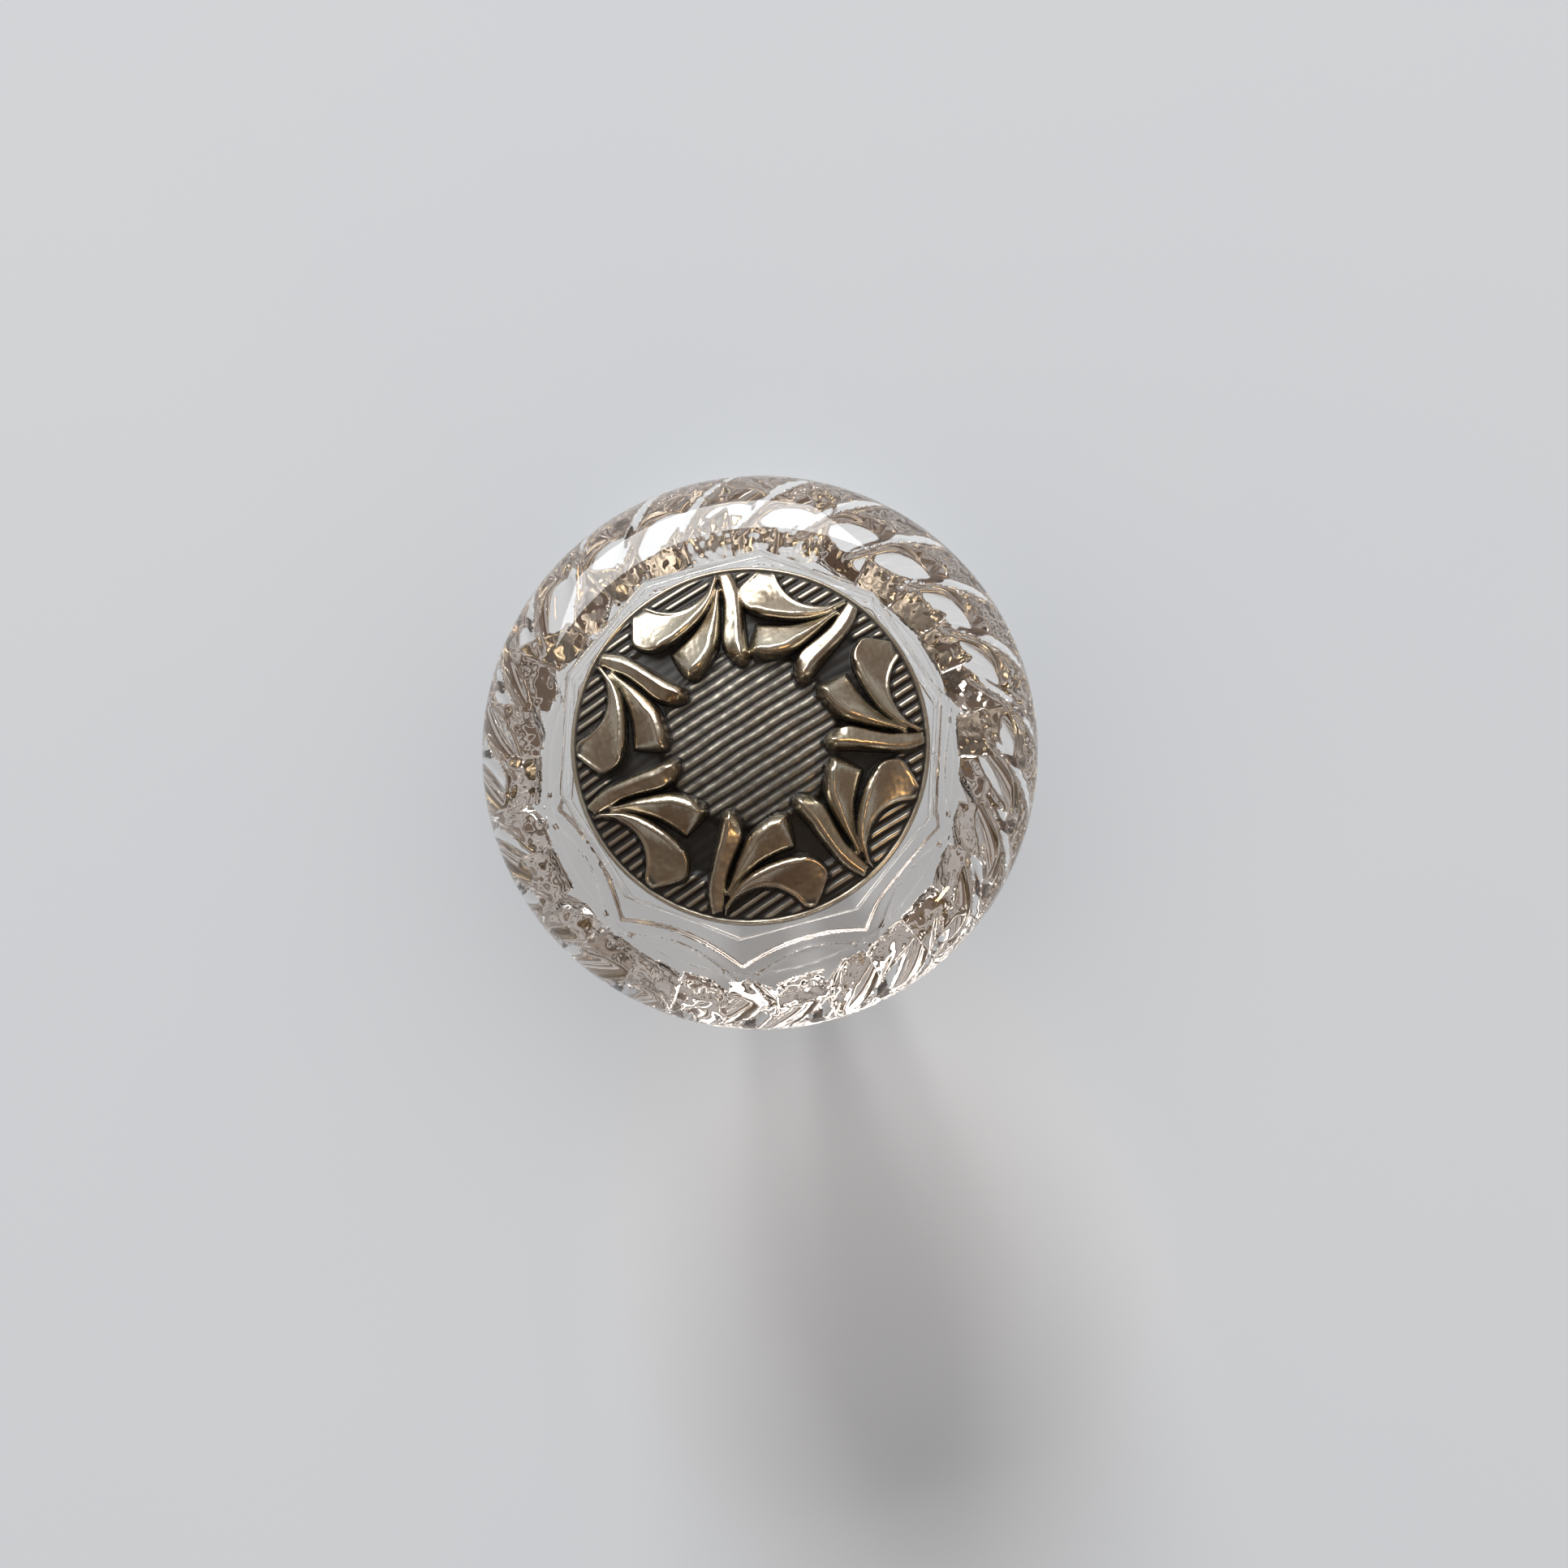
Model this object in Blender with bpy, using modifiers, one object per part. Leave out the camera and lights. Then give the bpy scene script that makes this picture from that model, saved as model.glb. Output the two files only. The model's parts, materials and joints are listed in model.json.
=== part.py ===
"""Sew-on button: a moulded clear glass body, its back with a ten-sided pad, a ring of
small facets and a rope border, with a stamped, antiqued metal medallion cemented in the
front pocket and a metal plate-and-loop shank set in the back.

Frame: metres, +Z up through the button's face. The origin is the point of the shank
loop that touches the cloth, on the button's axis. All sizes below are in millimetres,
and heights are measured up from the glass back pad.
"""

import bpy
import bmesh
import math
from mathutils import Matrix, Vector

MM = 0.001

# ---------------------------------------------------------------- driving dimensions
BUTTON_D = 23.0          # 36 ligne
SHANK_H = 5.0            # cloth to the glass back pad
GLASS_T = 6.2            # back pad to the front flat
Z_PAD = SHANK_H          # the back pad's place in the frame
FIT = 0.04               # clearance left round set-in pieces
OVERRUN = 1.0            # how far cutters run out past the glass

# glass body
LIP_R = 7.98             # outer edge of the narrow front flat
GIRDLE_Z = 2.9           # height of the widest circle
SHOULDER_STEPS = 8       # steps in the curve from lip to girdle
RIM_BACK = (11.42, 2.62)     # radius and height where the rim turns to the back
CONE_OUT_R, CONE_IN_R = 11.1, 8.9
CONE_SLOPE = 0.80        # rise of the back, from its facets out to the rim
MOULD_AT = (-0.25, -0.18)    # the back's pattern sits a little off the rim's centre

# ten-sided pad, and the ring of small facets round it
PAD_APOTHEM = 7.80
PAD_FLARE = 0.09         # the pad's sides widen this much into the glass
PAD_CORNER_DEG = 15.0    # one of its corners points this way
PAD_STEP = 0.20          # it stands this far proud of the ring round it
PAD_SINK = 0.1           # it runs this far into that ring
RING_R = 8.50            # outer edge of that flat ring
BRICKS = 30              # small facets rising from the ring
BRICK_TOP_R, BRICK_TOP_Z = 9.20, 1.00

# rope border
ROPE_N = 24
ROPE_R = 9.55
ROPE_Z = 1.60
ROPE_PHASE_DEG = 7.5
ROPE_LEAN_DEG = -17.0    # strand lean from the tangent
ROPE_HALF = (1.38, 0.72, 1.18)   # half length, width and height of a strand

# ten-sided front pocket
POCKET_APOTHEM = 7.42
POCKET_FLOOR_Z = 4.2

# shank: one ten-sided wire, set in the glass through a round plate
PLATE_R = 3.2
PLATE_T = 0.42           # depth of the plate's seat
PLATE_GAP = 0.03         # left between the plate and the seat's floor
PLATE_EDGE_PROUD = 0.02
PLATE_MID_R, PLATE_MID_PROUD = 2.2, 0.06     # raised middle
PLATE_SLOPE_R = 2.6      # foot of the slope round the raised middle
WIRE_R = 0.55
LEG_X = 1.3
LOOP_R = 1.9
EYE_START_DEG = 48.0     # where the leg joins the eye's arc
EYE_STEPS = 9            # steps from there to the eye's lowest point
# (x, height) down the +X leg, from its tip in the glass
LEG = [(2.35, 1.62), (2.05, 1.25), (1.62, 0.85),
       (LEG_X, 0.5), (LEG_X, 0.1), (LEG_X, -0.35)]

# medallion
MED_R = 7.25
MED_AT = (-0.30, -0.05)  # the pocket and all in it sit a little off the rim's centre
DOME_EDGE_Z = 5.75
DOME_RISE = 1.45
DOME_RINGS = [0.0, 1.8, 3.6, 5.2, 6.3]
INNER_RINGS = (6.2, 3.6, 0.0)
SHEET = 0.45             # thickness of the dome
BEAD_IN, BEAD_TOP_IN, BEAD_TOP_OUT = 0.22, 0.16, 0.08    # distances in from the edge
BEAD_RISE = 0.05
EDGE_DROP = 0.1          # from the bead's foot to the top of the outer wall
WALL_T, WALL_TOP_Z = 0.34, 5.34      # the wall's thickness and inner top
FLANGE_R = 6.4           # the wall's foot turns in to here
FLANGE_Z = (4.5, 4.62)
CEMENT_R, CEMENT_Z = 7.0, (4.23, 4.46)
BACKING_R, BACKING_Z = 6.85, (4.66, 4.92)

# relief on the dome
RELIEF_SINK = 0.2        # the relief reaches this far below the dome's skin
CUTTER_Z = 6.6           # mid height of the prisms and bars that shape the relief
PETAL_RISE = 0.60
PETAL_MARGIN = 0.2       # plain edge outside the petals
PRISM_HALF_H = 2.0
APEX_DEG = 258.0         # the wreath is phased from this apex
# one per spray: the hand-cut die's sprays are a few degrees off even spacing
SPRAY_OFF_DEG = (0.8, 1.6, 0.0, 1.0, -4.5, -4.0, -3.3)
DIE_AT = (0.03, 0.12)    # the die struck a little off the disc's centre
RIB_R = 3.3              # edge of the ribbed middle
RIB_PITCH = 0.46
RIB_DEG = 33.0
RIB_RISE = 0.12
RIB_W, RIB_BAR_H = 0.24, 3.0
RIB_END_GAP = 0.05       # the bars stop this far short of the edge

# three petals of one spray, as (degrees from the apex, share of the medallion radius)
PETALS = {
    "swept": [(1.5, .93), (4, .911), (8, .84), (14, .79), (19, .78), (24, .81), (28, .872),
              (31, .95), (34, .93), (38, .856), (40, .80), (39.4, .745), (34, .69),
              (26, .684), (18, .70), (10, .755), (5, .835)],
    "middle": [(2.4, .84), (6, .738), (12, .67), (20, .638), (28, .632), (32.4, .634),
               (34, .60), (35, .533), (34.2, .47), (30, .449), (22, .453), (15, .48),
               (9, .545), (5, .645), (3, .756)],
    "narrow": [(-2, .93), (-4.4, .844), (-6.4, .711), (-7.6, .578), (-7, .489), (-4, .452),
               (0, .452), (3, .50), (3.2, .556), (2.2, .644), (0.8, .756), (-.2, .867),
               (-.4, .93)],
}

# ---------------------------------------------------------------- scene and materials
for old in list(bpy.data.objects):
    bpy.data.objects.remove(old, do_unlink=True)

scene = bpy.context.scene
button = bpy.data.collections.new("sew_on_button")
cutters = bpy.data.collections.new("cutters")
scene.collection.children.link(button)
scene.collection.children.link(cutters)


def material(name, colour, roughness, metallic, transmission=0.0):
    mat = bpy.data.materials.new(name)
    mat.use_nodes = True
    inputs = mat.node_tree.nodes["Principled BSDF"].inputs
    inputs["Base Color"].default_value = (*colour, 1.0)
    inputs["Roughness"].default_value = roughness
    inputs["Metallic"].default_value = metallic
    if transmission:
        inputs["Transmission Weight"].default_value = transmission
        inputs["IOR"].default_value = 1.52
    return mat


glass_mat = material("clear_glass", colour=(0.95, 0.96, 0.95), roughness=0.03,
                     metallic=0.0, transmission=0.9)
silver_mat = material("antiqued_plate", colour=(0.42, 0.38, 0.32), roughness=0.28,
                      metallic=1.0)
brass_mat = material("dull_brass", colour=(0.45, 0.38, 0.26), roughness=0.38,
                     metallic=1.0)
cement_mat = material("cement", colour=(0.62, 0.55, 0.42), roughness=0.5, metallic=0.0)


# ------------------------------------------------------------------------- helpers
def mesh_of(name, bm):
    mesh = bpy.data.meshes.new(name)
    bm.to_mesh(mesh)
    bm.free()
    return mesh


def place(name, mesh, mat=None, group=None):
    """A piece of the button, or, when it has no material, a hidden cutter."""
    obj = bpy.data.objects.new(name, mesh)
    if group is None:
        group = button if mat else cutters
    group.objects.link(obj)
    if mat:
        mesh.materials.append(mat)
    else:
        obj.hide_render = True
        obj.display_type = "WIRE"
    return obj


def turned(name, profile, mat=None, steps=72, base_z=Z_PAD):
    """A profile of (radius, height above base_z), down its outer side, turned about Z."""
    bm = bmesh.new()
    verts = [bm.verts.new((r * MM, 0.0, (z + base_z) * MM)) for r, z in profile]
    for a, b in zip(verts, verts[1:]):
        bm.edges.new((a, b))
    obj = place(name, mesh_of(name, bm), mat)
    screw = obj.modifiers.new("turn", "SCREW")
    screw.axis = "Z"
    screw.angle = 2 * math.pi
    screw.steps = steps
    screw.render_steps = steps
    screw.use_merge_vertices = True
    screw.merge_threshold = 0.00001
    screw.use_smooth_shade = True
    return obj


def disc(name, radius, heights, mat):
    low, high = heights
    return turned(name, [(0.0, high), (radius, high), (radius, low), (0.0, low)], mat,
                  steps=48)


def frustum(name, sides, r_low, r_high, z_low, z_high, turn_deg=0.0):
    """A many-sided cutter between two heights above the pad."""
    bm = bmesh.new()
    bmesh.ops.create_cone(
        bm, cap_ends=True, cap_tris=False, segments=sides,
        radius1=r_low * MM, radius2=r_high * MM, depth=(z_high - z_low) * MM)
    obj = place(name, mesh_of(name, bm))
    obj.location.z = (Z_PAD + z_low + Z_PAD + z_high) / 2 * MM
    obj.rotation_euler.z = math.radians(turn_deg)
    return obj


def ten_sided(name, apothem_low, apothem_high, z_low, z_high):
    to_corner = math.cos(math.pi / 10)
    # unturned, a ten-sided frustum has a corner at 18 degrees
    return frustum(name, 10, apothem_low / to_corner, apothem_high / to_corner,
                   z_low, z_high, turn_deg=PAD_CORNER_DEG - 18.0)


def off_centre(obj, at):
    obj.location.x += at[0] * MM
    obj.location.y += at[1] * MM
    return obj


def boolean(obj, other, operation, label):
    """Combine obj with another object, or with every object of a collection."""
    mod = obj.modifiers.new(label, "BOOLEAN")
    mod.operation = operation
    mod.solver = "EXACT"
    if isinstance(other, bpy.types.Collection):
        mod.operand_type = "COLLECTION"
        mod.collection = other
    else:
        mod.object = other


def curve_mesh(name, curve, points, cyclic=False):
    """A closed mesh of a straight-sided curve through the points, its caps welded on."""
    spline = curve.splines.new("POLY")
    spline.points.add(len(points) - 1)
    for point, (x, y, z) in zip(spline.points, points):
        point.co = (x * MM, y * MM, z * MM, 1.0)
    spline.use_cyclic_u = cyclic
    path = bpy.data.objects.new(name + "_path", curve)
    scene.collection.objects.link(path)
    bpy.context.view_layer.update()
    graph = bpy.context.evaluated_depsgraph_get()
    raw = bpy.data.meshes.new_from_object(path.evaluated_get(graph))
    bpy.data.objects.remove(path, do_unlink=True)
    bm = bmesh.new()
    bm.from_mesh(raw)
    bpy.data.meshes.remove(raw)
    bmesh.ops.remove_doubles(bm, verts=bm.verts, dist=0.000001)
    bmesh.ops.recalc_face_normals(bm, faces=bm.faces)
    return mesh_of(name, bm)


# --------------------------------------------------------------------------- shank
def wire_path(stretch):
    """Two legs splay inside the glass, pass the plate and meet in the eye."""
    right = list(LEG)
    tip, bend = Vector(LEG[0]), Vector(LEG[1])
    right[0] = tuple(tip + (tip - bend).normalized() * stretch)
    # the ten-sided wire rests on one of its flats
    eye_z = -SHANK_H + WIRE_R * math.cos(math.pi / 10) + LOOP_R
    for i in range(EYE_STEPS + 1):
        angle = math.radians(EYE_START_DEG - (EYE_START_DEG + 90.0) * i / EYE_STEPS)
        right.append((LOOP_R * math.cos(angle), eye_z + LOOP_R * math.sin(angle)))
    left = [(-x, z) for x, z in reversed(right[:-1])]
    return right + left


def wire(name, radius, mat=None, stretch=0.0):
    curve = bpy.data.curves.new(name, "CURVE")
    curve.dimensions = "3D"
    curve.bevel_depth = radius * MM
    curve.bevel_resolution = 3
    curve.use_fill_caps = True
    curve.twist_mode = "MINIMUM"
    points = [(x, 0.0, z + Z_PAD) for x, z in wire_path(stretch)]
    return place(name, curve_mesh(name, curve, points), mat)


def make_shank_plate(wire_cutter):
    inner_z = -PLATE_T + PLATE_GAP
    # the profile is drawn upright and then turned over, face towards the cloth
    profile = [(0.0, PLATE_MID_PROUD), (PLATE_MID_R, PLATE_MID_PROUD),
               (PLATE_SLOPE_R, PLATE_EDGE_PROUD), (PLATE_R, PLATE_EDGE_PROUD),
               (PLATE_R, inner_z), (0.0, inner_z)]
    plate = turned("shank_plate", profile, brass_mat, steps=64, base_z=0.0)
    plate.rotation_euler.x = math.pi
    plate.location.z = Z_PAD * MM
    boolean(plate, wire_cutter, "DIFFERENCE", "leg holes")


# ---------------------------------------------------------------------- glass body
def back_cone(r):
    return BRICK_TOP_Z + CONE_SLOPE * (r - BRICK_TOP_R)


def make_blank():
    """The plain glass: front flat, elliptical shoulder, girdle and coned back."""
    profile = [(0.0, GLASS_T), (LIP_R, GLASS_T)]
    for i in range(1, SHOULDER_STEPS + 1):
        angle = math.pi / 2 * i / SHOULDER_STEPS
        profile.append((LIP_R + (BUTTON_D / 2 - LIP_R) * math.sin(angle),
                        GIRDLE_Z + (GLASS_T - GIRDLE_Z) * math.cos(angle)))
    profile += [RIM_BACK, (CONE_OUT_R, back_cone(CONE_OUT_R)),
                (CONE_IN_R, back_cone(CONE_IN_R)), (0.0, back_cone(CONE_IN_R))]
    return turned("glass_body", profile, glass_mat)


def make_rope():
    rope = bpy.data.collections.new("rope_strands")
    cutters.children.link(rope)
    bm = bmesh.new()
    bmesh.ops.create_uvsphere(bm, u_segments=10, v_segments=6, radius=1.0)
    bmesh.ops.scale(bm, vec=[half * MM for half in ROPE_HALF], verts=bm.verts)
    strand_mesh = mesh_of("rope_strand", bm)
    for i in range(ROPE_N):
        angle = math.radians(ROPE_PHASE_DEG + 360.0 / ROPE_N * i)
        strand = place(f"rope_strand_{i:02d}", strand_mesh, group=rope)
        strand.location = ((ROPE_R * math.cos(angle) + MOULD_AT[0]) * MM,
                           (ROPE_R * math.sin(angle) + MOULD_AT[1]) * MM,
                           (Z_PAD + ROPE_Z) * MM)
        # along the tangent, leaning outwards as the rope runs anticlockwise about +Z
        strand.rotation_euler.z = angle + math.pi / 2 + math.radians(ROPE_LEAN_DEG)
    return rope


def make_glass_body(wire_cutter):
    glass = make_blank()
    bricks = frustum("brick_ring", BRICKS, RING_R, BRICK_TOP_R, PAD_STEP, BRICK_TOP_Z)
    boolean(glass, off_centre(bricks, MOULD_AT), "UNION", "ring of facets")
    pad = ten_sided("back_pad", PAD_APOTHEM, PAD_APOTHEM + PAD_FLARE,
                    0.0, PAD_STEP + PAD_SINK)
    boolean(glass, off_centre(pad, MOULD_AT), "UNION", "ten-sided pad")
    boolean(glass, make_rope(), "UNION", "rope border")
    pocket = ten_sided("front_pocket", POCKET_APOTHEM, POCKET_APOTHEM,
                       POCKET_FLOOR_Z, GLASS_T + OVERRUN)
    boolean(glass, off_centre(pocket, MED_AT), "DIFFERENCE", "front pocket")
    seat = frustum("plate_seat", 64, PLATE_R + FIT, PLATE_R + FIT, -OVERRUN, PLATE_T)
    boolean(glass, seat, "DIFFERENCE", "plate seat")
    boolean(glass, wire_cutter, "DIFFERENCE", "leg channels")


# ----------------------------------------------------------------------- medallion
def dome(r):
    return DOME_EDGE_Z + DOME_RISE * (1.0 - (r / MED_R) ** 2)


def make_face():
    """Domed sheet with a beaded edge, an outer wall and a turned-in foot."""
    bead_r = MED_R - BEAD_IN
    edge_z = dome(bead_r)
    wall_r = MED_R - WALL_T
    flange_low, flange_high = FLANGE_Z
    profile = [(r, dome(r)) for r in DOME_RINGS]
    profile += [(bead_r, edge_z), (MED_R - BEAD_TOP_IN, edge_z + BEAD_RISE),
                (MED_R - BEAD_TOP_OUT, edge_z + BEAD_RISE), (MED_R, edge_z - EDGE_DROP),
                (MED_R, flange_low), (FLANGE_R, flange_low), (FLANGE_R, flange_high),
                (wall_r, flange_high), (wall_r, WALL_TOP_Z)]
    profile += [(r, dome(r) - SHEET) for r in INNER_RINGS]
    return turned("medallion_face", profile, silver_mat)


def petal_mesh(name, petal, turn_deg):
    """A tall prism of one petal's outline, turned to its spray."""
    outline = []
    for degrees, share in petal:
        angle = math.radians(turn_deg + degrees)
        outline.append((share * MED_R * math.cos(angle) + DIE_AT[0],
                        share * MED_R * math.sin(angle) + DIE_AT[1], 0.0))
    curve = bpy.data.curves.new(name, "CURVE")
    curve.dimensions = "2D"
    curve.fill_mode = "BOTH"
    curve.extrude = PRISM_HALF_H * MM
    mesh = curve_mesh(name, curve, outline, cyclic=True)
    mesh.transform(Matrix.Translation((0, 0, (Z_PAD + CUTTER_Z) * MM)))
    return mesh


def make_petal_prisms():
    """Every spray's petals, as one cutter of separate prisms."""
    bm = bmesh.new()
    for k, off_deg in enumerate(SPRAY_OFF_DEG):
        turn_deg = APEX_DEG + 360.0 / len(SPRAY_OFF_DEG) * k + off_deg
        for kind, petal in PETALS.items():
            mesh = petal_mesh(f"petal_{kind}_{k}", petal, turn_deg)
            bm.from_mesh(mesh)
            bpy.data.meshes.remove(mesh)
    return place("petal_prisms", mesh_of("petal_prisms", bm))


def make_rib_bars():
    bm = bmesh.new()
    count = int(RIB_R / RIB_PITCH)
    for i in range(-count, count + 1):
        y = i * RIB_PITCH
        half = math.sqrt(RIB_R ** 2 - y * y) - RIB_END_GAP
        matrix = (Matrix.Rotation(math.radians(RIB_DEG), 4, "Z")
                  @ Matrix.Translation((0, y * MM, (Z_PAD + CUTTER_Z) * MM))
                  @ Matrix.Diagonal((2 * half * MM, RIB_W * MM, RIB_BAR_H * MM, 1.0)))
        bmesh.ops.create_cube(bm, size=1.0, matrix=matrix)
    return place("rib_bars", mesh_of("rib_bars", bm))


def add_relief(face, shapes, label, skin_name, rise, edge_r):
    """Raise the shapes on the dome by cutting them from a thicker skin of it."""
    radii = [r for r in DOME_RINGS if r < edge_r] + [edge_r]
    profile = [(r, dome(r) + rise) for r in radii]
    profile += [(r, dome(r) - RELIEF_SINK) for r in reversed(radii)]
    skin = turned(skin_name, profile)
    boolean(skin, shapes, "INTERSECT", label)
    boolean(face, skin, "UNION", label)
    return skin


def make_medallion():
    """The medallion and its cement bed, moved with their cutters to the pocket."""
    cement = disc("cement_bed", CEMENT_R, CEMENT_Z, cement_mat)
    backing = disc("medallion_backing", BACKING_R, BACKING_Z, brass_mat)
    face = make_face()
    prisms = make_petal_prisms()
    petal_skin = add_relief(face, prisms, "petals", "petal_skin", rise=PETAL_RISE,
                            edge_r=MED_R - PETAL_MARGIN)
    bars = make_rib_bars()
    rib_skin = add_relief(face, bars, "ribs", "rib_skin", rise=RIB_RISE, edge_r=RIB_R)
    for obj in (face, petal_skin, prisms, rib_skin, bars, backing, cement):
        off_centre(obj, MED_AT)


# -------------------------------------------------------------------------- button
shank_loop = wire("shank_loop", WIRE_R, brass_mat)
shank_loop.data.shade_smooth()
shank_loop.data.set_sharp_from_angle(angle=math.radians(40))
wire_channel = wire("wire_channel", WIRE_R + FIT, stretch=FIT)
make_glass_body(wire_channel)
make_shank_plate(wire_channel)
make_medallion()
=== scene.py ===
"""A pressed-glass button with a stamped medallion, standing on a pale table.

The button's axis is Z through the origin, medallion up and wire shank down on the table
at z = 0; the window is on the +Y side. Shapes are in millimetres until they become meshes,
and most heights are measured up from the pad on the back of the glass.
"""

import json
import math
from types import SimpleNamespace

import bpy
import numpy as np
from mathutils import Matrix, Vector

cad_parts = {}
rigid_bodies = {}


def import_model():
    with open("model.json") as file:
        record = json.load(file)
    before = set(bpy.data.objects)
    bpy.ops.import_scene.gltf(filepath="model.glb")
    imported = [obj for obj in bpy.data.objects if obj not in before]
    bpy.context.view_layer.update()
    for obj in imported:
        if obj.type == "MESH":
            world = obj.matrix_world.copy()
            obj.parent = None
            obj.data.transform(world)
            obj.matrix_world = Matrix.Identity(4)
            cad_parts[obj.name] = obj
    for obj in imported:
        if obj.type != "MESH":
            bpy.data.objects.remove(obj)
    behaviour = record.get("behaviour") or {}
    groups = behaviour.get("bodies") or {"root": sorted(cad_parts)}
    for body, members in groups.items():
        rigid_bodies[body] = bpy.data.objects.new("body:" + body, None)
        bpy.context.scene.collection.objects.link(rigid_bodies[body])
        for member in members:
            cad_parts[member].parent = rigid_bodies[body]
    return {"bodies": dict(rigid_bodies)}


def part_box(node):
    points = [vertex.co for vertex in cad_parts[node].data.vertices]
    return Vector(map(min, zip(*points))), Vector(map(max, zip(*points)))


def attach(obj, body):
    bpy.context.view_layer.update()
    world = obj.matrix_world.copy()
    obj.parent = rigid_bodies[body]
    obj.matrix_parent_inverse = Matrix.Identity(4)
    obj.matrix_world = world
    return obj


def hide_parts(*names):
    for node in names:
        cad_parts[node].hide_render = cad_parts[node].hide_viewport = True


ROOT = sorted(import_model()["bodies"])[0]
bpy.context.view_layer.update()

MM = 0.001


def cad_box(node):
    """Centre, half sizes, bottom and top of a CAD piece, in mm."""
    lo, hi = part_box(node)
    return SimpleNamespace(
        x=(lo.x + hi.x) / 2 / MM, y=(lo.y + hi.y) / 2 / MM,
        half_x=(hi.x - lo.x) / 2 / MM, half_y=(hi.y - lo.y) / 2 / MM,
        bottom=lo.z / MM, top=hi.z / MM)


# ------------------------------------------------------------ places from the CAD boxes
glass_box = cad_box("glass_body")
face_box = cad_box("medallion_face")
cement_box = cad_box("cement_bed")
plate_box = cad_box("shank_plate")
wire_box = cad_box("shank_loop")
Z_PAD = glass_box.bottom
GLASS_T = glass_box.top - Z_PAD
R_OUT = glass_box.half_x
MED_AT = (face_box.x, face_box.y)
MED_R = face_box.half_x


# ------------------------------------------------------------------------ shape tools
def smooth(start, end, x):
    t = np.clip((x - start) / (end - start), 0.0, 1.0)
    return t * t * (3 - 2 * t)


def quarter_round(distance, width):
    """Rises from 0 to 1 over the width as a quarter circle does."""
    return np.sqrt(np.clip(1 - (1 - np.clip(distance / width, 0, 1)) ** 2, 0, 1))


def ridge(distance, middle, width):
    return np.exp(-((distance - middle) / width) ** 2)


def waves(count, scale, seed):
    """A smooth pseudo-random field of (x, y) in mm, about -1 to 1, features near scale."""
    draw = np.random.default_rng(seed)
    heading = draw.uniform(0, 2 * math.pi, count)
    k = 2 * math.pi / (scale * draw.uniform(0.7, 1.6, count))
    phase = draw.uniform(0, 2 * math.pi, count)
    kx, ky = k * np.cos(heading), k * np.sin(heading)

    def field(x, y):
        out = np.zeros(np.broadcast(x, y).shape)
        for i in range(count):
            out += np.sin(kx[i] * x + ky[i] * y + phase[i])
        return out / math.sqrt(count / 2) / 1.6

    return field


def flow(points, n=7):
    """A smooth curve through the points (Catmull-Rom), n steps to a span."""
    p = np.vstack([2 * points[0] - points[1], points, 2 * points[-1] - points[-2]])
    out = []
    for k in range(1, len(p) - 2):
        for i in range(n):
            t = i / n
            out.append(0.5 * ((2 * p[k]) + (p[k + 1] - p[k - 1]) * t
                              + (2 * p[k - 1] - 5 * p[k] + 4 * p[k + 1] - p[k + 2]) * t * t
                              + (3 * p[k] - p[k - 1] - 3 * p[k + 1] + p[k + 2]) * t ** 3))
    out.append(p[-2])
    return np.array(out)


def turn(n):
    return np.arange(n) * 2 * math.pi / n


def ring(angles, radius, z, at=(0.0, 0.0)):
    """A level ring of points (n x 3); radius and z may vary round it."""
    return np.stack([radius * np.cos(angles) + at[0], radius * np.sin(angles) + at[1],
                     np.full(angles.shape, z)], 1)


def skin_rings(name, rings):
    """Skins a stack of rings (mm) into one mesh, each end closed by a fan."""
    n = len(rings[0])
    i = np.arange(n)
    j = (i + 1) % n
    last = (len(rings) - 1) * n
    faces = []
    for a in range(0, last, n):
        faces += np.stack([a + i, a + n + i, a + n + j, a + j], 1).tolist()
    centre = last + n
    faces += np.stack([np.full(n, centre), i, j], 1).tolist()
    faces += np.stack([np.full(n, centre + 1), last + j, last + i], 1).tolist()
    verts = np.vstack(rings + [rings[0].mean(0), rings[-1].mean(0)])
    mesh = bpy.data.meshes.new(name)
    mesh.from_pydata((verts * MM).tolist(), [], faces)
    mesh.update()
    return mesh


def add_piece(name, rings, material, node=None, sharp=None):
    """Builds a piece; edges bent more than `sharp` degrees are shaded as edges."""
    mesh = skin_rings(name, rings)
    obj = bpy.data.objects.new(name, mesh)
    bpy.context.scene.collection.objects.link(obj)
    mesh.shade_smooth()
    if sharp:
        mesh.set_sharp_from_angle(angle=math.radians(sharp))
    mesh.materials.append(material)
    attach(obj, ROOT)
    if node:
        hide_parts(node)
    return obj


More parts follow.
